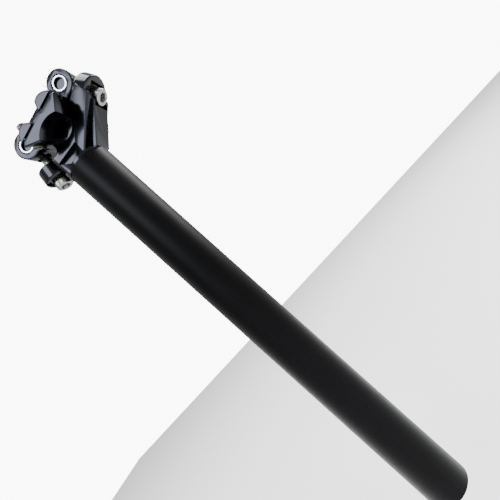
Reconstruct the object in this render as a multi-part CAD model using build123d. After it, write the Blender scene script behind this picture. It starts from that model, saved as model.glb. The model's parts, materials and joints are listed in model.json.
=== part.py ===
"""Rigid two-bolt bicycle seatpost: a plain tube, a forged head and a tilting rail clamp.

Millimetres. +Z runs up the tube, +X points to the front of the bicycle and +Y to its left.
The origin is the centre of the tube's bottom end.
"""
from build123d import *
from math import cos, radians, sin, sqrt, tan
import os

# Post tube
TUBE_DIAMETER = 27.2
TUBE_WALL = 2.2
RAIL_HEIGHT = 300.0         # bottom end of the tube to the rails, the post's nominal length
MOUTH_CHAMFER = 0.5

# Clamp: a local frame of u (forward) and n (up) about the tilt axis
SETBACK = 7.3               # tilt axis behind the tube's axis
REST_TILT = 6.5             # front of the clamp lower, degrees
HUB_RADIUS = 10.0
HUB_BORE_RADIUS = 7.0
HUB_HALF_WIDTH = 12.6
RAIL_OFFSET = 1.8           # rails above the tilt axis
RAIL_RADIUS = 3.5
RAIL_HALF_SPACING = 22.0
WING_HALF_WIDTH = 26.2
SPLIT_GAP = 0.8             # between the two halves of the clamp, rails fitted
WING_WALL = 1.3             # under the rail groove, at the middle of the arch
ARCH_RADIUS = 13.5
ARCH_HALF_CHORD = 9.0
WING_HALF_LENGTH = 16.8
FINGER_INNER = 3.6
FINGER_HEIGHT = 5.9
TAB_HEIGHT = 1.4
CROWN_RADIUS = 1.2          # rounding of the fingers' outer ends
SPINE_HALF_WIDTH = 15.8     # the recess between the wings, past the ends of the hub

# Barrel nuts and the eyes that hold them
NUT_HALF_SPACING = 20.3
NUT_OFFSET = 12.7           # nuts above the tilt axis
NUT_RADIUS = 5.0
NUT_HALF_LENGTH = 9.2
NUT_RECESS_RADIUS = 3.3
NUT_RECESS_DEPTH = 1.4
NUT_CHAMFER = 0.7
EYE_RADIUS = 8.25
EYE_HALF_WIDTH = 9.5

# Bolts and washers
BOLT_RADIUS = 3.0
BOLT_SPLAY = 18.2           # from the clamp's own upright, degrees
BOLT_HEAD_RADIUS = 5.0
BOLT_HEAD_HEIGHT = 6.0
BOLT_HEAD_CHAMFER = 0.5
BOLT_SOCKET_FLATS = 5.0
BOLT_SOCKET_DEPTH = 3.0
REAR_BOLT_LENGTH = 32.0
FRONT_BOLT_LENGTH = 40.0
REAR_GRIP = 15.6            # nut's axis to the underside of the bolt's head
FRONT_GRIP = 22.8
REAR_SWINGS = (-11.5, 1.5)    # the bolt's reach in its eye as the clamp tilts, degrees
FRONT_SWINGS = (-13.5, 3.5)
FLAT_WASHER_RADIUS = 5.7
FLAT_WASHER_THICKNESS = 1.2
BARREL_WASHER_RADIUS = 7.0
BARREL_WASHER_THICKNESS = 3.0
BARREL_WASHER_HALF_LENGTH = 5.9

# Forged head, heights from the top of the tube
HEAD_HEIGHT = 22.4          # tube's top to the tilt axis
PLATE_HALF_WIDTH = 11.5
FRONT_EAR_RADIUS = 8.9
REAR_EAR_RADIUS = 11.2
EAR_WALL_FRONT = 3.3        # above the barrel washer's seat
EAR_WALL_REAR = 2.2
EAR_SKIRT = 1.1             # past the underside of the bolt's head
ARM_OVERHANG = 0.6          # the rounded front arm past the tube's radius
WEB_HALF_WIDTH = 3.0
FLANGE_HALF_WIDTH = 7.0
FLANGE_THICKNESS = 3.2
COLLAR_HEIGHT = 2.0
COLLAR_STEP = 0.2           # below the tube's surface, so that the joint shows
POCKET_DEPTH = 3.0
SPIGOT_LENGTH = 32.0
SPIGOT_BORE_RADIUS = 7.0
SEAT_WALL = 3.5             # between the clamp's seat and the side pocket
RIDGE_SLOPE = 35.4          # lower edge of the side plate, degrees
FLANGE_SLOPE = 42.0         # back edge of the head, degrees

# Clearances
SEAT_CLEARANCE = 0.08
NUT_CLEARANCE = 0.05
THREAD_CLEARANCE = 0.45
SLOT_CLEARANCE = 0.15
BOLT_HOLE_CLEARANCE = 0.4
SPIGOT_CLEARANCE = 0.03
WASHER_CLEARANCE = 0.06
WASHER_GAP = 0.3            # room for the bolt to swing on the barrel washer
EDGE_BEVEL = 0.6

# Places worked out from the sizes above
TUBE_RADIUS = TUBE_DIAMETER / 2
TUBE_BORE_RADIUS = TUBE_RADIUS - TUBE_WALL
AXIS_HEIGHT = RAIL_HEIGHT - RAIL_OFFSET
TUBE_LENGTH = AXIS_HEIGHT - HEAD_HEIGHT
SEAT_RADIUS = HUB_RADIUS + SEAT_CLEARANCE
CRADLE_TOP = RAIL_OFFSET - SPLIT_GAP / 2
CLAMP_BOTTOM = RAIL_OFFSET + SPLIT_GAP / 2
ARCH_TOP = RAIL_OFFSET - RAIL_RADIUS - WING_WALL
ARCH_CENTRE = ARCH_TOP - ARCH_RADIUS
ARCH_FOOT = ARCH_CENTRE + sqrt(ARCH_RADIUS**2 - ARCH_HALF_CHORD**2)
PIVOT_DROP = FLAT_WASHER_THICKNESS + WASHER_GAP - (BARREL_WASHER_RADIUS - BARREL_WASHER_THICKNESS)


def in_clamp(solid):
    """Carry a solid from the clamp's frame to its place on the post."""
    return Pos(-SETBACK, 0, AXIS_HEIGHT) * Rot(0, REST_TILT, 0) * solid


def in_head(solid):
    """Carry a solid from the head's frame, at the tube's top, to its place on the post."""
    return Pos(0, 0, TUBE_LENGTH) * solid


def prism(sketch, half_width, bevel=0.0):
    """Extrude a side-view sketch to both sides, with its outer edges bevelled."""
    solid = extrude(Plane.XZ * sketch, half_width, both=True)
    if bevel:
        ends = solid.faces().sort_by(Axis.Y)
        solid = chamfer(ends[0].edges() + ends[-1].edges(), bevel)
    return solid


def slab(sketch, near, far):
    """Extrude a side-view sketch on both sides of the post, between two distances from its middle."""
    left = Pos(0, far, 0) * extrude(Plane.XZ * sketch, far - near, dir=(0, -1, 0))
    return [left, mirror(left, Plane.XZ)]


def round_crown(wing, radius):
    """Round a wing's outer end, all but the edge along its foot."""
    rims = []
    for face in wing.faces().filter_by(Axis.Y):
        if face.center().Y > WING_HALF_WIDTH - EDGE_BEVEL:
            rims += [edge for edge in face.edges() if edge.center().Z > CLAMP_BOTTOM + EDGE_BEVEL / 4]
    return fillet(rims, radius)


def crossbar(radius, half_length, x=0.0, z=0.0):
    """Cylinder across the post."""
    return Pos(x, 0, z) * Rot(90, 0, 0) * Cylinder(radius, 2 * half_length)


def disc_sketch(radius, x=0.0, y=0.0):
    return Pos(x, y) * Circle(radius)


class BoltLine:
    """One bolt's line, measured from its nut's axis down to its head, in the clamp's frame."""

    def __init__(self, side, grip, length, ear_radius, ear_wall, swings):
        self.side = side
        self.grip = grip
        self.length = length
        self.ear_radius = ear_radius
        self.swings = swings
        self.splay = side * BOLT_SPLAY
        self.pivot = grip - PIVOT_DROP
        self.ear_top = self.pivot - BARREL_WASHER_RADIUS - ear_wall
        self.ear_bottom = grip + EAR_SKIRT

    def place(self, solid):
        """Stand a solid, built downwards from the nut along -Z, on the bolt's line."""
        return in_clamp(Pos(self.side * NUT_HALF_SPACING, 0, NUT_OFFSET) * Rot(0, -self.splay, 0) * solid)

    def rod(self, radius, start, end):
        """Cylinder along the bolt's line between two distances below the nut."""
        return Pos(0, 0, -(start + end) / 2) * Cylinder(radius, end - start)


REAR = BoltLine(-1, REAR_GRIP, REAR_BOLT_LENGTH, REAR_EAR_RADIUS, EAR_WALL_REAR, REAR_SWINGS)
FRONT = BoltLine(1, FRONT_GRIP, FRONT_BOLT_LENGTH, FRONT_EAR_RADIUS, EAR_WALL_FRONT, FRONT_SWINGS)


def post_tube():
    tube = Pos(0, 0, TUBE_LENGTH / 2) * Cylinder(TUBE_RADIUS, TUBE_LENGTH)
    tube -= Pos(0, 0, TUBE_LENGTH / 2) * Cylinder(TUBE_BORE_RADIUS, TUBE_LENGTH)
    mouth = tube.edges().filter_by(GeomType.CIRCLE).sort_by(SortBy.RADIUS)[:2].sort_by(Axis.Z)[0]
    return chamfer(mouth, MOUTH_CHAMFER)


def head_plate():
    """Side plate: front arm, clamp seat, rear arm down to the ridge."""
    ridge_foot = -5.4
    ear_x = -33.0
    ridge_end = (ridge_foot - ear_x) * tan(radians(RIDGE_SLOPE))
    outline = Polygon(
        (ridge_foot, 0), (TUBE_RADIUS - 0.2, 0), (TUBE_RADIUS, 2.6), (TUBE_RADIUS + 1.6, 9.0),
        (TUBE_RADIUS + 3.0, 9.6), (TUBE_RADIUS + 3.0, 15.4), (14.6, 17.4), (12.4, 14.2), (5.4, 13.6), (3.2, 15.2), (3.0, 18.2),
        (0, HEAD_HEIGHT), (-18.6, HEAD_HEIGHT + 0.6), (-20.0, 24.2), (-27.0, 27.0), (ear_x + 0.5, 28.4),
        (ear_x - 0.6, ridge_end + 1.0), (ear_x, ridge_end), align=None)
    outline = fillet(outline.vertices().filter_by(lambda v: 2 < v.Y < 16 and v.X > 0), 1.2)
    plate = prism(outline, PLATE_HALF_WIDTH, EDGE_BEVEL)
    round_stock = Pos(0, 0, HEAD_HEIGHT) * Cylinder(TUBE_RADIUS + ARM_OVERHANG, 2 * HEAD_HEIGHT + 1)
    rear_stock = Pos(-30, 0, HEAD_HEIGHT) * Box(60, 60, 2 * HEAD_HEIGHT + 1)
    plate &= round_stock + rear_stock
    return plate - crossbar(SEAT_RADIUS, 2 * PLATE_HALF_WIDTH, -SETBACK, HEAD_HEIGHT)


def side_pocket():
    """Triangular recess under the clamp's seat."""
    top = HEAD_HEIGHT - SEAT_RADIUS - SEAT_WALL
    outline = Polygon((-8.4, top), (9.6, top), (0.8, COLLAR_HEIGHT - 1.4), align=None)
    return slab(fillet(outline.vertices(), 0.6), PLATE_HALF_WIDTH - POCKET_DEPTH, PLATE_HALF_WIDTH + 1)


def rear_web():
    """Thin web under the plate's ridge, stiffened by a flange along its back edge."""
    top_x = -32.4
    rise = (-TUBE_RADIUS - top_x) * tan(radians(FLANGE_SLOPE))
    inner = FLANGE_THICKNESS / cos(radians(FLANGE_SLOPE))
    back = Polygon((-TUBE_RADIUS + 0.1, 0), (top_x, rise), (top_x - 1.5, 24.0), (-26.0, 20.0), (-2.0, 4.0),
                   (-2.0, 0), align=None)
    window = Polygon((-10.6, 2.0), (-12.6, inner), (-24.0, inner + 10.3), align=None)
    foot_window = Polygon((-8.6, 2.4), (-7.6, 3.6), (-5.4, 2.4), align=None)
    web = prism(back, WEB_HALF_WIDTH) - prism(window, TUBE_RADIUS) - prism(foot_window, TUBE_RADIUS)
    rim = Polygon((-TUBE_RADIUS + 0.1, 0), (top_x, rise), (top_x, rise + inner), (-TUBE_RADIUS + 0.1, inner),
                  (-TUBE_RADIUS + 3.5, 0), align=None)
    return web + prism(rim, FLANGE_HALF_WIDTH, EDGE_BEVEL)


def ear(line):
    """Round boss that a bolt pulls on."""
    boss = line.rod(line.ear_radius, line.ear_top, line.ear_bottom)
    return line.place(fillet(boss.edges(), 1.2))


def ear_cuts(line):
    """Trough for the barrel washer and a fore-and-aft slot for the swinging bolt."""
    trough = crossbar(BARREL_WASHER_RADIUS + WASHER_CLEARANCE,
                      BARREL_WASHER_HALF_LENGTH + BOLT_HOLE_CLEARANCE, 0, -line.pivot)
    slot_width = 2 * (BOLT_RADIUS + BOLT_HOLE_CLEARANCE)
    slot = Pos(0, 0, -line.ear_bottom) * extrude(SlotOverall(slot_width + 2.4, slot_width), line.ear_bottom)
    return [line.place(trough), line.place(slot)]


def head_yoke():
    collar = Pos(0, 0, COLLAR_HEIGHT / 2) * Cylinder(TUBE_RADIUS - COLLAR_STEP, COLLAR_HEIGHT)
    spigot_radius = TUBE_BORE_RADIUS - SPIGOT_CLEARANCE
    spigot = Pos(0, 0, -SPIGOT_LENGTH / 2) * Cylinder(spigot_radius, SPIGOT_LENGTH)
    spigot -= Pos(0, 0, -SPIGOT_LENGTH / 2) * Cylinder(SPIGOT_BORE_RADIUS, SPIGOT_LENGTH)
    head = in_head(head_plate() + rear_web() + collar + spigot)
    for line in (REAR, FRONT):
        head += ear(line)
    for pocket in side_pocket():
        head -= in_head(pocket)
    head -= in_clamp(crossbar(SEAT_RADIUS, WING_HALF_WIDTH))
    for line in (REAR, FRONT):
        for cut in ear_cuts(line):
            head -= cut
    return head


def lower_cradle():
    """Half-round hub that rocks in the head's seat, and a wing under each rail."""
    tip_height = ARCH_TOP + 2.6
    bar = Polygon(
        (-WING_HALF_LENGTH + 2.6, CRADLE_TOP), (-WING_HALF_LENGTH, tip_height),
        (-ARCH_HALF_CHORD, ARCH_FOOT), (ARCH_HALF_CHORD, ARCH_FOOT), (WING_HALF_LENGTH, tip_height),
        (WING_HALF_LENGTH - 2.6, CRADLE_TOP), align=None)
    wings = prism(bar, WING_HALF_WIDTH, EDGE_BEVEL)
    wings -= prism(Rectangle(60, 60) - Circle(HUB_RADIUS), SPINE_HALF_WIDTH)
    hub = crossbar(HUB_RADIUS, HUB_HALF_WIDTH)
    hub -= Pos(0, 0, CRADLE_TOP) * Box(60, 60, 30, align=(Align.CENTER, Align.CENTER, Align.MIN))
    cradle = wings + hub
    vault = disc_sketch(ARCH_RADIUS, 0, ARCH_CENTRE)
    cradle -= slab(vault, HUB_HALF_WIDTH, WING_HALF_WIDTH + 1)
    cradle -= prism(vault & disc_sketch(HUB_BORE_RADIUS), WING_HALF_WIDTH)
    for side in (-1, 1):
        tab_top = RAIL_OFFSET + TAB_HEIGHT
        tab = Box(2 * FINGER_INNER - 1.2, 1.2, tab_top - ARCH_TOP, align=(Align.CENTER, Align.MAX, Align.MAX))
        if side < 0:
            tab = mirror(tab, Plane.XZ)
        cradle += Pos(0, side * WING_HALF_WIDTH, tab_top) * tab
        cradle -= Pos(0, side * RAIL_HALF_SPACING, RAIL_OFFSET) * Rot(0, 90, 0) * Cylinder(RAIL_RADIUS, 60)
    return in_clamp(cradle)


def bolt_slots(line):
    """Slot through an eye that clears the bolt over the clamp's tilt."""
    width = BOLT_RADIUS + THREAD_CLEARANCE + SLOT_CLEARANCE
    reach = EYE_RADIUS + 6
    angles = [swing - line.splay for swing in line.swings]
    cuts = [Rot(0, angle, 0) * Cylinder(width, 2 * reach) for angle in angles]
    for end in (-reach, reach):
        tips = [(end * sin(radians(angle)), end * cos(radians(angle))) for angle in angles]
        cuts.append(prism(Polygon((0, 0), *tips, align=None), width))
    return cuts


def upper_clamp():
    """Spine with an eye at each end, and two fingers over each rail."""
    spine = Polygon(
        (-20.3, 20.6), (-11.5, 16.6), (0, 14.2), (11.5, 16.6), (20.3, 20.6), (24.5, 5.6), (9.5, CLAMP_BOTTOM + 1),
        (-9.5, CLAMP_BOTTOM + 1), (-24.5, 5.6), align=None)
    eyes = Sketch() + [disc_sketch(EYE_RADIUS, side * NUT_HALF_SPACING, NUT_OFFSET) for side in (-1, 1)]
    reach = Polygon(
        (-20.3, 20.6), (-11.5, 16.6), (0, 14.2), (11.5, 16.6), (20.3, 20.6), (18.0, 5.0),
        (9.5, CLAMP_BOTTOM + 1), (-9.5, CLAMP_BOTTOM + 1), (-18.0, 5.0), align=None)
    clamp = prism(reach + eyes, EYE_HALF_WIDTH, EDGE_BEVEL)
    finger_top = RAIL_OFFSET + FINGER_HEIGHT
    finger = Polygon(
        (FINGER_INNER, CLAMP_BOTTOM), (FINGER_INNER, CLAMP_BOTTOM + 1.4), (6.4, finger_top - 0.4),
        (9.6, finger_top), (13.0, finger_top - 1.2), (15.6, CLAMP_BOTTOM + 1.6), (16.0, CLAMP_BOTTOM), align=None)
    finger = fillet(finger.vertices().filter_by(lambda v: v.Y > CLAMP_BOTTOM + 2), 1.4)
    fingers = finger + mirror(finger, Plane.YZ)
    wing = round_crown(slab(fingers, EYE_HALF_WIDTH - 1, WING_HALF_WIDTH)[0], CROWN_RADIUS)
    clamp = clamp + wing + mirror(wing, Plane.XZ)
    shoulder = Polygon((-15.5, 4.2), (-15.5, 9.0), (-9, 11.0), (9, 11.0), (15.5, 9.0), (15.5, 4.2), align=None)
    for side in slab(fillet(shoulder.vertices(), 1.0), EYE_HALF_WIDTH - 1, RAIL_HALF_SPACING - RAIL_RADIUS - 1.0):
        clamp += side
    for side in (-1, 1):
        clamp -= Pos(0, side * RAIL_HALF_SPACING, RAIL_OFFSET) * Rot(0, 90, 0) * Cylinder(RAIL_RADIUS, 60)
    for line in (REAR, FRONT):
        at_nut = Pos(line.side * NUT_HALF_SPACING, 0, NUT_OFFSET)
        clamp -= at_nut * crossbar(NUT_RADIUS + NUT_CLEARANCE, EYE_HALF_WIDTH + 1)
        for cut in bolt_slots(line):
            clamp -= at_nut * cut
    return in_clamp(clamp)


def barrel_nut(line):
    nut = crossbar(NUT_RADIUS, NUT_HALF_LENGTH)
    nut = chamfer(nut.edges().filter_by(GeomType.CIRCLE), NUT_CHAMFER)
    for side in (-1, 1):
        nut -= Pos(0, side * NUT_HALF_LENGTH, 0) * crossbar(NUT_RECESS_RADIUS, NUT_RECESS_DEPTH)
    nut -= Cylinder(BOLT_RADIUS + THREAD_CLEARANCE, 4 * NUT_RADIUS)
    return line.place(nut)


def clamp_bolt(line):
    """Socket-head bolt, its head at the bottom."""
    head = line.rod(BOLT_HEAD_RADIUS, line.grip, line.grip + BOLT_HEAD_HEIGHT)
    rim = head.edges().filter_by(GeomType.CIRCLE).sort_by(Axis.Z)[0]
    head = chamfer(rim, BOLT_HEAD_CHAMFER)
    socket = RegularPolygon(BOLT_SOCKET_FLATS / 2, 6, major_radius=False)
    head -= Pos(0, 0, -line.grip - BOLT_HEAD_HEIGHT) * extrude(socket, BOLT_SOCKET_DEPTH)
    shank = line.rod(BOLT_RADIUS, line.grip - line.length, line.grip)
    tip = shank.edges().filter_by(GeomType.CIRCLE).sort_by(Axis.Z)[-1]
    return line.place(head + chamfer(tip, BOLT_HEAD_CHAMFER))


def flat_washer(line):
    ring = line.rod(FLAT_WASHER_RADIUS, line.grip - FLAT_WASHER_THICKNESS, line.grip)
    ring -= line.rod(BOLT_RADIUS + BOLT_HOLE_CLEARANCE, line.grip - 2 * FLAT_WASHER_THICKNESS, line.grip + 1)
    return line.place(ring)


def barrel_washer(line):
    """Half-round washer that lets the bolt swing in the ear."""
    flat = BARREL_WASHER_RADIUS - BARREL_WASHER_THICKNESS
    segment = crossbar(BARREL_WASHER_RADIUS, BARREL_WASHER_HALF_LENGTH)
    segment -= Pos(0, 0, flat) * Box(40, 40, 40, align=(Align.CENTER, Align.CENTER, Align.MAX))
    segment -= Cylinder(BOLT_RADIUS + BOLT_HOLE_CLEARANCE, 40)
    return line.place(Pos(0, 0, -line.pivot) * segment)


def build_parts():
    parts = {
        "post_tube": post_tube(),
        "head_yoke": head_yoke(),
        "lower_cradle": lower_cradle(),
        "upper_clamp": upper_clamp(),
    }
    for name, line in (("rear", REAR), ("front", FRONT)):
        parts[f"{name}_barrel_nut"] = barrel_nut(line)
        parts[f"{name}_clamp_bolt"] = clamp_bolt(line)
        parts[f"{name}_flat_washer"] = flat_washer(line)
        parts[f"{name}_barrel_washer"] = barrel_washer(line)
    return parts


os.makedirs("parts", exist_ok=True)
for node, solid in build_parts().items():
    export_step(solid, f"parts/{node}.step")
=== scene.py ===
"""Looks of a rigid two-bolt seatpost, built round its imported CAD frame. Metres, +Z up the tube."""

import json
import logging
import math
from dataclasses import dataclass, field
from enum import Enum
from typing import Any, Callable

import bpy
from mathutils import Euler, Matrix, Vector

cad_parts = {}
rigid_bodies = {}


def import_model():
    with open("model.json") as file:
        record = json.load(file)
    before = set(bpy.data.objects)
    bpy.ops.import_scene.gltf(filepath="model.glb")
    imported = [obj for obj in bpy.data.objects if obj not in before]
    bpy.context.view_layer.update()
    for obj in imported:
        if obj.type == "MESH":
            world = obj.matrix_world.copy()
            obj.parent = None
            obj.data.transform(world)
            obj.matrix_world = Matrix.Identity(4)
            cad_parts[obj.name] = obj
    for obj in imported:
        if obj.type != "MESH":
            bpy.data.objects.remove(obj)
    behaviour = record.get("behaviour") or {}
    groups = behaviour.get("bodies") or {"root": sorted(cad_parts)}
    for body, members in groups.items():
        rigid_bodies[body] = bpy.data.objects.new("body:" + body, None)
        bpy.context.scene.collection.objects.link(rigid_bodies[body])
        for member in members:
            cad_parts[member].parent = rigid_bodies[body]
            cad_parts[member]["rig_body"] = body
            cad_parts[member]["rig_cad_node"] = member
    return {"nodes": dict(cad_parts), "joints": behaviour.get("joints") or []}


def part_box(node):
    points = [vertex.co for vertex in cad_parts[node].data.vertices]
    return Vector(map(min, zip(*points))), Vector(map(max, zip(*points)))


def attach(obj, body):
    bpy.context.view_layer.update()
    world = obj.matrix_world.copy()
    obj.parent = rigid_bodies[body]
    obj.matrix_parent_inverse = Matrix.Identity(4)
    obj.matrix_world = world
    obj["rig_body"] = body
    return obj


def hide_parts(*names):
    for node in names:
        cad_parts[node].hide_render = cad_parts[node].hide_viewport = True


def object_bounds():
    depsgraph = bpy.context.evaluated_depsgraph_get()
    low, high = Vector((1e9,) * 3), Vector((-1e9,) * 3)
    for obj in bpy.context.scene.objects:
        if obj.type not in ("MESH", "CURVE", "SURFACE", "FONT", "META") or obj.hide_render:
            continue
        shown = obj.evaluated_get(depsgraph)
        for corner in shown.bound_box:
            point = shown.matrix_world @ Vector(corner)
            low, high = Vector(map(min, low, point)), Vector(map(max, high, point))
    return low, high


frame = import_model()
CAD_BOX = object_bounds()
LOG = logging.getLogger("seatpost")

MM = 0.001
WELD = 0.01 * MM
SENSOR_WIDTH = 36.0


class Side(Enum):
    """Which of the clamp's two bolts a piece belongs to."""

    REAR = "rear"
    FRONT = "front"


# ---------------------------------------------------------------- shader maths


class Sock:
    """A shader value that adds Math nodes when Python arithmetic is done on it."""

    def __init__(self, web: "Web", link: Any) -> None:
        """Wrap one output.

        Args:
            web: The material's node builder.
            link: The output socket.
        """
        self.web = web
        self.link = link

    def _math(self, operation: str, first: Any, second: Any) -> "Sock":
        """Add one Math node.

        Args:
            operation: The node's operation.
            first: Its first value or Sock.
            second: Its second value or Sock.

        Returns:
            The node's result.
        """
        return self.web.node("ShaderNodeMath", {"operation": operation}, {0: first, 1: second})

    def __add__(self, other: Any) -> "Sock":
        """self + other."""
        return self._math("ADD", self, other)

    __radd__ = __add__

    def __sub__(self, other: Any) -> "Sock":
        """self - other."""
        return self._math("SUBTRACT", self, other)

    def __rsub__(self, other: Any) -> "Sock":
        """other - self."""
        return self._math("SUBTRACT", other, self)

    def __mul__(self, other: Any) -> "Sock":
        """self * other."""
        return self._math("MULTIPLY", self, other)

    __rmul__ = __mul__

    def __pow__(self, other: Any) -> "Sock":
        """self ** other."""
        return self._math("POWER", self, other)

    def above(self, edge: float, soft: float) -> "Sock":
        """A mask that rises from 0 to 1 at an edge.

        Args:
            edge: The value where the mask is one half.
            soft: Half the width of the rise.

        Returns:
            The mask.
        """
        values = {0: self, 1: edge - soft, 2: edge + soft, 3: 0.0, 4: 1.0}
        return self.web.node("ShaderNodeMapRange", {"clamp": True}, values)


class Web:
    """Builds one material's nodes."""

    def __init__(self, name: str) -> None:
        """Start an empty material.

        Args:
            name: The material's name.
        """
        self.material = bpy.data.materials.new(name)
        self.material.use_nodes = True
        self.tree = self.material.node_tree
        self.tree.nodes.clear()
        self.output = self.tree.nodes.new("ShaderNodeOutputMaterial")
        place = self.tree.nodes.new("ShaderNodeTexCoord")
        self.place = Sock(self, place.outputs["Object"])

    def node(self, kind: str, settings: dict, values: dict, result: Any = 0) -> Sock:
        """Add a node.

        Args:
            kind: The node's type.
            settings: Properties set before its sockets.
            values: Socket name or number to a value or Sock.
            result: The output wanted, by name or number.

        Returns:
            The output.
        """
        made = self.tree.nodes.new(kind)
        for key, value in settings.items():
            setattr(made, key, value)
        for key, value in values.items():
            socket = made.inputs[key]
            if isinstance(value, Sock):
                self.tree.links.new(value.link, socket)
            else:
                socket.default_value = value
        return Sock(self, made.outputs[result])

    def noise(self, scale: float, detail: float = 2.0, stretch: tuple = (1.0, 1.0, 1.0)) -> Sock:
        """Noise on the piece's own coordinates.

        Args:
            scale: Grains per metre.
            detail: Octaves.
            stretch: Scale along each axis.

        Returns:
            A value from 0 to 1.
        """
        placed = {"Vector": self.place, "Scale": stretch}
        spot = self.node("ShaderNodeMapping", {"vector_type": "POINT"}, placed)
        values = {"Vector": spot, "Scale": scale, "Detail": detail}
        return self.node("ShaderNodeTexNoise", {}, values)

    def mix(self, mask: Any, first: Any, second: Any) -> Sock:
        """Mix two colours by a mask."""
        return self.node("ShaderNodeMix", {"data_type": "RGBA"}, {0: mask, 6: first, 7: second}, 2)

    def bump(self, height: Sock, depth: float) -> Sock:
        """A bumped normal.

        Args:
            height: Height from 0 to 1.
            depth: The height's depth in metres.

        Returns:
            The normal.
        """
        values = {"Height": height, "Distance": depth, "Strength": 1.0}
        return self.node("ShaderNodeBump", {}, values)

    def finish(self, linked: dict[str, Sock], fixed: dict[str, float]) -> bpy.types.Material:
        """Close the material with its shader.

        Args:
            linked: Shader sockets that vary over the surface.
            fixed: Shader sockets that are the same all over.

        Returns:
            The material.
        """
        shader = self.tree.nodes.new("ShaderNodeBsdfPrincipled")
        for name, value in fixed.items():
            shader.inputs[name].default_value = value
        for name, sock in linked.items():
            self.tree.links.new(sock.link, shader.inputs[name])
        self.tree.links.new(shader.outputs[0], self.output.inputs[0])
        return self.material

    def metal(self, colour: Sock, rough: Sock, normal: Sock) -> bpy.types.Material:
        """Close the material as bare or anodised metal.

        Args:
            colour: Base colour.
            rough: Roughness.
            normal: Bumped normal.

        Returns:
            The material.
        """
        linked = {"Base Color": colour, "Roughness": rough, "Normal": normal}
        return self.finish(linked, {"Metallic": 1.0})


# ---------------------------------------------------------------- finishes


@dataclass(frozen=True)
class BlastedAnodise:
    """Black anodising over a bead-blasted tube: soft sheen, fine even grain."""

    name: str = "blasted_black_anodise"
    dark: tuple = (0.0045, 0.0045, 0.0048, 1.0)
    light: tuple = (0.0085, 0.0085, 0.0090, 1.0)
    grain: float = 3600.0
    grain_depth: float = 0.000012
    cloud_scale: float = 55.0
    drawing_scale: float = 420.0
    drawing_stretch: tuple = (1.0, 1.0, 0.02)
    base_rough: float = 0.36

    def build(self) -> bpy.types.Material:
        """Make the material."""
        web = Web(self.name)
        grain = web.noise(self.grain, 3.0)
        clouds = web.noise(self.cloud_scale)
        drawn = web.noise(self.drawing_scale, stretch=self.drawing_stretch)
        tone = grain * 0.45 + clouds * 0.3 + drawn * 0.25
        colour = web.mix(tone, self.dark, self.light)
        rough = self.base_rough + clouds * 0.06 + grain * 0.07 + drawn * 0.03
        normal = web.bump(grain, self.grain_depth)
        return web.metal(colour, rough, normal)


@dataclass(frozen=True)
class PolishedAnodise:
    """Black anodising over a polished forging: dark mirror with a faint orange peel."""

    name: str = "polished_black_anodise"
    dark: tuple = (0.0150, 0.0156, 0.0190, 1.0)
    light: tuple = (0.0240, 0.0250, 0.0300, 1.0)
    peel: float = 260.0
    peel_depth: float = 0.000012
    haze_scale: float = 90.0
    speck_scale: float = 5200.0
    base_rough: float = 0.12

    def build(self) -> bpy.types.Material:
        """Make the material."""
        web = Web(self.name)
        peel = web.noise(self.peel, 1.0)
        haze = web.noise(self.haze_scale, 3.0)
        speck = web.noise(self.speck_scale)
        colour = web.mix(haze * 0.7 + speck * 0.3, self.dark, self.light)
        rough = self.base_rough + haze * 0.07 + speck * 0.03
        normal = web.bump(peel, self.peel_depth)
        return web.metal(colour, rough, normal)


@dataclass(frozen=True)
class TurnedNut:
    """Black barrel nut whose end faces are turned bright after anodising."""

    name: str
    centre: tuple
    ring_inside: float = 3.7 * MM
    end_face: float = 8.4 * MM
    black: tuple = (0.020, 0.021, 0.026, 1.0)
    bright: tuple = (0.62, 0.62, 0.65, 1.0)
    ring_soft: float = 0.15 * MM
    end_soft: float = 0.08 * MM
    tool_marks: float = 2600.0
    mark_depth: float = 0.000006
    haze_scale: float = 400.0
    base_rough: float = 0.14

    def build(self) -> bpy.types.Material:
        """Make the material."""
        web = Web(self.name)
        ends = {0: web.place, 1: self.centre}
        off = web.node("ShaderNodeVectorMath", {"operation": "SUBTRACT"}, ends)
        across = web.node("ShaderNodeSeparateXYZ", {}, {0: off}, "X")
        up = web.node("ShaderNodeSeparateXYZ", {}, {0: off}, "Z")
        side = web.node("ShaderNodeSeparateXYZ", {}, {0: off}, "Y")
        radius = (across * across + up * up) ** 0.5
        end = (side * side) ** 0.5
        on_end = end.above(self.end_face, self.end_soft)
        ring = radius.above(self.ring_inside, self.ring_soft) * on_end
        turned = radius * (self.tool_marks * math.tau)
        marks = web.node("ShaderNodeMath", {"operation": "SINE"}, {0: turned})
        haze = web.noise(self.haze_scale)
        colour = web.mix(ring, self.black, self.bright)
        rough = self.base_rough + haze * 0.06 + ring * 0.08
        normal = web.bump((marks * 0.5 + 0.5) * ring, self.mark_depth)
        return web.metal(colour, rough, normal)


@dataclass(frozen=True)
class BrightSteel:
    """Bright stainless bolt, its tone varied at random by drawing streaks and clouds."""

    name: str = "bright_stainless"
    low: tuple = (0.15, 0.15, 0.15, 1.0)
    high: tuple = (0.28, 0.28, 0.285, 1.0)
    drawing_scale: float = 1800.0
    drawing_stretch: tuple = (1.0, 1.0, 0.15)
    drawing_depth: float = 0.000004
    cloud_scale: float = 350.0
    base_rough: float = 0.2

    def build(self) -> bpy.types.Material:
        """Make the material."""
        web = Web(self.name)
        drawn = web.noise(self.drawing_scale, 3.0, self.drawing_stretch)
        cloud = web.noise(self.cloud_scale)
        colour = web.mix(drawn * 0.5 + cloud * 0.5, self.low, self.high)
        rough = self.base_rough + drawn * 0.08 + cloud * 0.06
        normal = web.bump(drawn, self.drawing_depth)
        return web.metal(colour, rough, normal)


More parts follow.
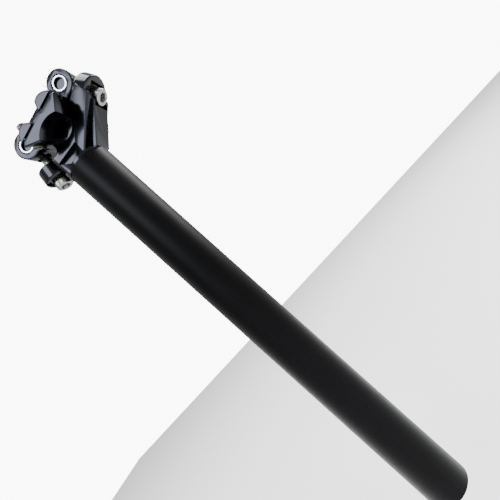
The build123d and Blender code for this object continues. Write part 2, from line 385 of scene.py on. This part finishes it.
@dataclass(frozen=True)
class BlackOxide:
    """Oiled black oxide on the washers, rubbed lighter in patches."""

    name: str = "black_oxide"
    oxide: tuple = (0.012, 0.012, 0.013, 1.0)
    rubbed: tuple = (0.07, 0.068, 0.065, 1.0)
    patch_scale: float = 500.0
    rub_edge: float = 0.62
    rub_soft: float = 0.1
    grain: float = 4200.0
    grain_depth: float = 0.000008
    base_rough: float = 0.34

    def build(self) -> bpy.types.Material:
        """Make the material."""
        web = Web(self.name)
        patches = web.noise(self.patch_scale, 4.0)
        grain = web.noise(self.grain)
        rub = patches.above(self.rub_edge, self.rub_soft)
        colour = web.mix(rub, self.oxide, self.rubbed)
        rough = self.base_rough + grain * 0.12 - rub * 0.1
        normal = web.bump(grain, self.grain_depth)
        return web.metal(colour, rough, normal)


@dataclass(frozen=True)
class PaleFloor:
    """Matt pale studio floor."""

    name: str = "pale_floor"
    dark: tuple = (0.86, 0.86, 0.86, 1.0)
    light: tuple = (0.9, 0.9, 0.9, 1.0)
    mottle_scale: float = 3.0
    rough: float = 0.9

    def build(self) -> bpy.types.Material:
        """Make the material."""
        web = Web(self.name)
        mottle = web.noise(self.mottle_scale)
        colour = web.mix(mottle, self.dark, self.light)
        return web.finish({"Base Color": colour}, {"Roughness": self.rough})


# ---------------------------------------------------------------- mesh work


def clear_selection() -> None:
    """Leave nothing selected and no object active."""
    if bpy.context.object and bpy.context.object.mode != "OBJECT":
        bpy.ops.object.mode_set(mode="OBJECT")
    bpy.ops.object.select_all(action="DESELECT")
    bpy.context.view_layer.objects.active = None


def work_on(piece: bpy.types.Object) -> None:
    """Make a piece the only selected object and the active one."""
    clear_selection()
    piece.select_set(True)
    bpy.context.view_layer.objects.active = piece


def take_new(name: str) -> bpy.types.Object:
    """Name the primitive just added.

    Args:
        name: The piece's name.

    Returns:
        The object.
    """
    piece = bpy.context.object
    piece.name = name
    piece.data.name = name
    return piece


class Pick(Enum):
    """What is picked in a mesh."""

    FACE = "polygons"
    EDGE = "edges"
    VERT = "vertices"


def pick(piece: bpy.types.Object, kind: Pick, wanted: Callable[[Any], bool]) -> None:
    """Select parts of a mesh by a test, and stay in edit mode with that kind of select on.

    Args:
        piece: The object.
        kind: What is picked.
        wanted: The test of one polygon, edge or vertex.
    """
    work_on(piece)
    bpy.ops.object.mode_set(mode="EDIT")
    bpy.ops.mesh.select_mode(type=kind.name)
    bpy.ops.mesh.select_all(action="DESELECT")
    bpy.ops.object.mode_set(mode="OBJECT")
    for part in getattr(piece.data, kind.value):
        part.select = wanted(part)
    bpy.ops.object.mode_set(mode="EDIT")


def apply_modifier(piece: bpy.types.Object, kind: str, **settings: Any) -> None:
    """Add a modifier and apply it.

    Args:
        piece: The object.
        kind: The modifier's type.
        settings: Its settings.
    """
    work_on(piece)
    modifier = piece.modifiers.new(kind.lower(), kind)
    for key, value in settings.items():
        setattr(modifier, key, value)
    bpy.ops.object.modifier_apply(modifier=modifier.name)


def smooth(piece: bpy.types.Object, degrees: float = 32.0) -> None:
    """Shade a piece smooth up to an angle."""
    work_on(piece)
    bpy.ops.object.shade_smooth_by_angle(angle=math.radians(degrees))
    clear_selection()


def dress(piece: bpy.types.Object, material: bpy.types.Material) -> None:
    """Give a piece one material."""
    piece.data.materials.clear()
    piece.data.materials.append(material)


def join(pieces: list[bpy.types.Object], name: str) -> bpy.types.Object:
    """Join objects into one.

    Args:
        pieces: The objects; the first one stays.
        name: The joined piece's name.

    Returns:
        The joined object.
    """
    clear_selection()
    for piece in pieces:
        piece.select_set(True)
    bpy.context.view_layer.objects.active = pieces[0]
    bpy.ops.object.join()
    return take_new(name)


# ---------------------------------------------------------------- sub-assemblies


@dataclass
class Softened:
    """A copy of a CAD node with its sharp edges broken, as tumbling and polishing leave them."""

    node: str
    body: str
    slot: str
    width: float = 0.35 * MM
    segments: int = 3
    weld: float = 0.002 * MM
    flat_degrees: float = 0.6
    edge_degrees: float = 24
    smooth_degrees: float = 40.0

    def build(self, material: bpy.types.Material) -> bpy.types.Object:
        """Copy, merge, bevel and dress the node.

        Args:
            material: The finish.

        Returns:
            The piece.
        """
        source = frame["nodes"][self.node]
        piece = source.copy()
        piece.data = source.data.copy()
        piece.parent = None
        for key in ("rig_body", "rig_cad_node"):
            if key in piece:
                del piece[key]
        bpy.context.scene.collection.objects.link(piece)
        piece.name = self.node + "_polished"
        work_on(piece)
        bpy.ops.object.mode_set(mode="EDIT")
        bpy.ops.mesh.select_all(action="SELECT")
        bpy.ops.mesh.remove_doubles(threshold=self.weld)
        bpy.ops.mesh.customdata_custom_splitnormals_clear()
        bpy.ops.mesh.dissolve_limited(angle_limit=math.radians(self.flat_degrees))
        bpy.ops.object.mode_set(mode="OBJECT")
        apply_modifier(
            piece, "BEVEL", width=self.width, segments=self.segments, limit_method="ANGLE",
            angle_limit=math.radians(self.edge_degrees), use_clamp_overlap=True,
            miter_outer="MITER_ARC",
        )
        smooth(piece, self.smooth_degrees)
        dress(piece, material)
        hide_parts(self.node)
        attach(piece, self.body)
        return piece


@dataclass
class SocketBolt:
    """A socket-head bolt with a knurled head, a hex socket and a cut thread."""

    side: Side
    length: float
    thread_length: float = 24.0 * MM
    radius: float = 3.0 * MM
    root_radius: float = 2.45 * MM
    pitch: float = 1.0 * MM
    head_radius: float = 5.0 * MM
    head_height: float = 6.0 * MM
    socket_flats: float = 5.0 * MM
    socket_depth: float = 3.0 * MM
    knurls: int = 40
    knurl_depth: float = 0.14 * MM
    rim_inset: float = 0.5 * MM
    crown_drop: float = 0.45 * MM
    seat_lift: float = 0.25 * MM
    socket_flare: float = 1.12
    crest_share: float = 0.16
    tip_chamfer: float = 0.6 * MM
    edge_break: float = 0.07 * MM
    shank_play: float = 0.04 * MM
    shank_chamfer: float = 0.3 * MM
    rim_band: float = 0.1 * MM
    sides: int = 48

    def head(self) -> bpy.types.Object:
        """Knurled head with its hex socket, hanging down from the origin."""
        clear_selection()
        bpy.ops.mesh.primitive_cylinder_add(
            vertices=self.knurls * 2, radius=self.head_radius, depth=self.head_height,
            location=(0, 0, -self.head_height / 2), end_fill_type="NGON",
        )
        bpy.ops.object.transform_apply(location=True)
        head = take_new("bolt_head")
        low = -self.head_height
        pick(head, Pick.FACE, lambda f: abs(f.normal.z) > 0.9)
        bpy.ops.mesh.inset(thickness=self.rim_inset, depth=0)
        bpy.ops.object.mode_set(mode="OBJECT")
        rim = self.head_radius - self.rim_band
        pick(head, Pick.VERT, lambda v: v.co.xy.length > rim and v.co.z < low / 2)
        bpy.ops.transform.translate(value=(0, 0, self.crown_drop))
        bpy.ops.object.mode_set(mode="OBJECT")
        pick(head, Pick.VERT, lambda v: v.co.xy.length > rim and v.co.z > low / 2)
        bpy.ops.transform.translate(value=(0, 0, -self.seat_lift))
        bpy.ops.object.mode_set(mode="OBJECT")
        turn = math.pi / self.knurls

        def in_groove(vertex: Any) -> bool:
            """Whether a rim vertex lies in a groove of the knurl."""
            step = round(math.atan2(vertex.co.y, vertex.co.x) / turn)
            return vertex.co.xy.length > rim and step % 2 == 1

        pick(head, Pick.VERT, in_groove)
        shrink = 1 - self.knurl_depth / self.head_radius
        bpy.ops.transform.resize(value=(shrink, shrink, 1), center_override=(0, 0, 0))
        bpy.ops.object.mode_set(mode="OBJECT")
        clear_selection()
        bpy.ops.mesh.primitive_cylinder_add(
            vertices=6, radius=self.socket_flats / 2 / math.cos(math.pi / 6),
            depth=self.socket_depth * 2, location=(0, 0, low), end_fill_type="NGON",
        )
        bpy.ops.object.transform_apply(location=True)
        tool = take_new("hex_tool")
        pick(tool, Pick.FACE, lambda f: f.normal.z < -0.9)
        flare = (self.socket_flare, self.socket_flare, 1)
        bpy.ops.transform.resize(value=flare, center_override=(0, 0, 0))
        bpy.ops.object.mode_set(mode="OBJECT")
        apply_modifier(head, "BOOLEAN", operation="DIFFERENCE", object=tool, solver="EXACT")
        bpy.data.objects.remove(tool)
        apply_modifier(head, "BEVEL", width=self.edge_break, segments=2, limit_method="ANGLE",
                       angle_limit=math.radians(38))
        smooth(head, 30.0)
        return head

    def thread(self) -> bpy.types.Object:
        """Helical thread, from the bolt's tip down to its plain shank."""
        turns = int(round(self.thread_length / self.pitch)) + 3
        clear_selection()
        bpy.ops.mesh.primitive_plane_add(size=1.0)
        thread = take_new("bolt_thread")
        pick(thread, Pick.VERT, lambda v: True)
        bpy.ops.transform.rotate(value=math.pi / 2, orient_axis="X", center_override=(0, 0, 0))
        bpy.ops.object.mode_set(mode="OBJECT")
        pick(thread, Pick.VERT, lambda v: v.co.x > 0)
        bpy.ops.transform.resize(value=(1, 1, self.crest_share), center_override=(0.5, 0, 0))
        bpy.ops.object.mode_set(mode="OBJECT")
        pick(thread, Pick.VERT, lambda v: True)
        size = (self.radius - self.root_radius, 1, self.pitch)
        bpy.ops.transform.resize(value=size, center_override=(0.5, 0, 0))
        bpy.ops.transform.translate(value=(self.radius - 0.5, 0, 0))
        bpy.ops.mesh.delete(type="ONLY_FACE")
        bpy.ops.object.mode_set(mode="OBJECT")
        crest = self.radius - self.rim_band
        points = thread.data.vertices
        pick(thread, Pick.EDGE, lambda e: max(points[i].co.x for i in e.vertices) < crest)
        bpy.ops.mesh.delete(type="EDGE")
        bpy.ops.object.mode_set(mode="OBJECT")
        apply_modifier(
            thread, "SCREW", angle=math.tau, screw_offset=self.pitch, iterations=turns,
            steps=self.sides, render_steps=self.sides, axis="Z", use_merge_vertices=True,
            merge_threshold=WELD, use_normal_calculate=True,
        )
        top = self.length
        bpy.ops.object.mode_set(mode="EDIT")
        bpy.ops.mesh.select_all(action="SELECT")
        bpy.ops.mesh.remove_doubles(threshold=WELD)
        bpy.ops.transform.translate(value=(0, 0, top - self.thread_length - 1.5 * self.pitch))
        bpy.ops.mesh.select_all(action="SELECT")
        bpy.ops.mesh.bisect(
            plane_co=(0, 0, top), plane_no=(0, 0, 1), use_fill=True, clear_outer=True
        )
        bpy.ops.mesh.select_all(action="SELECT")
        bpy.ops.mesh.bisect(
            plane_co=(0, 0, top - self.thread_length), plane_no=(0, 0, -1),
            use_fill=True, clear_outer=True,
        )
        bpy.ops.mesh.select_all(action="SELECT")
        bpy.ops.mesh.normals_make_consistent(inside=False)
        bpy.ops.object.mode_set(mode="OBJECT")
        clear_selection()
        bpy.ops.mesh.primitive_cylinder_add(
            vertices=self.sides, radius=self.radius + 0.001 * MM, depth=self.length * 2,
            location=(0, 0, 0), end_fill_type="NGON",
        )
        envelope = take_new("thread_envelope")
        apply_modifier(envelope, "BEVEL", width=self.tip_chamfer, segments=1, limit_method="ANGLE",
                       angle_limit=math.radians(60))
        apply_modifier(thread, "BOOLEAN", operation="INTERSECT", object=envelope, solver="EXACT")
        bpy.data.objects.remove(envelope)
        smooth(thread, 35.0)
        return thread

    def shank(self) -> bpy.types.Object:
        """Plain shank between the head and the thread."""
        plain = self.length - self.thread_length
        clear_selection()
        bpy.ops.mesh.primitive_cylinder_add(
            vertices=self.sides, radius=self.radius - self.shank_play, depth=plain + self.pitch,
            location=(0, 0, (plain - self.pitch / 2) / 2), end_fill_type="NGON",
        )
        bpy.ops.object.transform_apply(location=True)
        shank = take_new("bolt_shank")
        apply_modifier(shank, "BEVEL", width=self.shank_chamfer, segments=2, limit_method="ANGLE",
                       angle_limit=math.radians(60))
        smooth(shank, 35.0)
        return shank

    def build(self, material: bpy.types.Material) -> bpy.types.Object:
        """Build the bolt on its CAD line.

        Args:
            material: The finish.

        Returns:
            The piece.
        """
        name = self.side.value
        spin = next(j for j in frame["joints"] if j["name"] == f"{name}_bolt_spin")
        axis = Vector(spin["axis"])
        bolt = join([self.head(), self.shank(), self.thread()], f"{name}_threaded_bolt")
        lean = math.atan2(axis.x, axis.z)
        bolt.data.transform(Matrix.Translation(spin["pos_m"]) @ Matrix.Rotation(lean, 4, "Y"))
        bolt.matrix_world = Matrix.Identity(4)
        dress(bolt, material)
        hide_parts(f"{name}_clamp_bolt")
        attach(bolt, f"{name}_bolt")
        return bolt


@dataclass
class Post:
    """The tube and its forged head."""

    def build(self, blasted: bpy.types.Material, polished: bpy.types.Material) -> None:
        """Dress the tube and build the softened head.

        Args:
            blasted: The tube's finish.
            polished: The head's finish.
        """
        dress(frame["nodes"]["post_tube"], blasted)
        head = Softened("head_yoke", "post", "polished_black").build(polished)
        LOG.info("tube dressed, head %s has %d faces", head.name, len(head.data.polygons))


@dataclass
class RailClamp:
    """The cradle, the upper clamp, and the nuts and washers of both bolts."""

    bolt_lengths: dict[Side, float] = field(
        default_factory=lambda: {Side.REAR: 32.0 * MM, Side.FRONT: 40.0 * MM}
    )

    def build(
        self, polished: bpy.types.Material, steel: bpy.types.Material, oxide: bpy.types.Material
    ) -> None:
        """Build and dress the clamp.

        Args:
            polished: Finish of the two clamp halves.
            steel: Finish of the bolts.
            oxide: Finish of the washers.
        """
        for node, body in (("lower_cradle", "cradle"), ("upper_clamp", "top_clamp")):
            piece = Softened(node, body, "polished_black").build(polished)
            LOG.info("%s has %d faces", piece.name, len(piece.data.polygons))
        for side, length in self.bolt_lengths.items():
            nut = f"{side.value}_barrel_nut"
            low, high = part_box(nut)
            dress(frame["nodes"][nut], TurnedNut(f"{nut}_turned", tuple((low + high) / 2)).build())
            for part in ("flat_washer", "barrel_washer"):
                dress(frame["nodes"][f"{side.value}_{part}"], oxide)
            bolt = SocketBolt(side, length).build(steel)
            LOG.info("%s has %d faces", bolt.name, len(bolt.data.polygons))


# ---------------------------------------------------------------- studio


@dataclass
class Softbox:
    """A square area light aimed at a point."""

    name: str
    direction: tuple
    distance: float
    width: float
    radiance: float
    tint: tuple = (1.0, 1.0, 1.0)

    def build(self, target: Vector) -> None:
        """Hang the light.

        Args:
            target: The point that it faces.
        """
        data = bpy.data.lights.new(self.name, "AREA")
        data.shape = "SQUARE"
        data.size = self.width
        data.energy = self.radiance * math.pi * self.width**2
        data.color = self.tint
        light = bpy.data.objects.new(self.name, data)
        bpy.context.scene.collection.objects.link(light)
        toward = Vector(self.direction).normalized()
        light.location = target + toward * self.distance
        light.rotation_mode = "QUATERNION"
        light.rotation_quaternion = toward.to_track_quat("Z", "Y")


@dataclass
class Studio:
    """Pale floor, softboxes, world and camera."""

    head_centre: Vector = field(default_factory=lambda: Vector((-0.007, 0.0, 0.300)))
    floor_drop: float = 0.06
    floor_size: float = 3.0
    ambient: float = 0.9
    backdrop: float = 10.0
    camera_place: tuple = (-0.06064, 0.20071, 0.16274)
    camera_turn: tuple = (93.4676, 48.3578, -167.4788)
    lens: float = 25.704

    def lights(self) -> None:
        """Hang the softboxes."""
        boxes = (
            Softbox("key_box", (0.22, 0.84, 0.46), 1.0, 0.5, 15.0, (0.92, 0.95, 1.0)),
            Softbox("top_box", (-0.35, 0.1, 1.0), 1.3, 0.9, 20.0),
            Softbox("rim_box", (-0.9, -0.5, 0.45), 1.2, 0.7, 12.0),
        )
        for box in boxes:
            box.build(self.head_centre)

    def world(self) -> None:
        """White to look at, dimmer as a light."""
        world = bpy.data.worlds.new("studio")
        world.use_nodes = True
        tree = world.node_tree
        tree.nodes.clear()
        output = tree.nodes.new("ShaderNodeOutputWorld")
        blend = tree.nodes.new("ShaderNodeMixShader")
        seen = tree.nodes.new("ShaderNodeLightPath")
        for slot, strength in ((1, self.ambient), (2, self.backdrop)):
            glow = tree.nodes.new("ShaderNodeBackground")
            glow.inputs["Color"].default_value = (1.0, 1.0, 1.0, 1.0)
            glow.inputs["Strength"].default_value = strength
            tree.links.new(glow.outputs[0], blend.inputs[slot])
        tree.links.new(seen.outputs["Is Camera Ray"], blend.inputs[0])
        tree.links.new(blend.outputs[0], output.inputs[0])
        bpy.context.scene.world = world

    def floor(self) -> None:
        """Lay the floor below the post."""
        clear_selection()
        drop = CAD_BOX[0].z - self.floor_drop
        bpy.ops.mesh.primitive_plane_add(size=self.floor_size, location=(0, 0, drop))
        bpy.ops.object.transform_apply(location=True)
        floor = take_new("studio_floor")
        dress(floor, PaleFloor().build())

    def camera(self) -> None:
        """Set the camera, low on the left and close to the head."""
        data = bpy.data.cameras.new("camera")
        data.lens = self.lens
        data.sensor_width = SENSOR_WIDTH
        data.clip_start = 0.01
        camera = bpy.data.objects.new("camera", data)
        bpy.context.scene.collection.objects.link(camera)
        camera.location = self.camera_place
        camera.rotation_euler = Euler([math.radians(turn) for turn in self.camera_turn], "XYZ")
        bpy.context.scene.camera = camera

    def build(self) -> None:
        """Build the whole studio."""
        self.lights()
        self.world()
        self.floor()
        self.camera()


def main() -> None:
    """Build every sub-assembly, then the studio."""
    logging.basicConfig(level=logging.INFO, format="%(name)s: %(message)s")
    polished = PolishedAnodise().build()
    Post().build(BlastedAnodise().build(), polished)
    RailClamp().build(polished, BrightSteel().build(), BlackOxide().build())
    Studio().build()
    clear_selection()


if __name__ == "__main__":
    main()
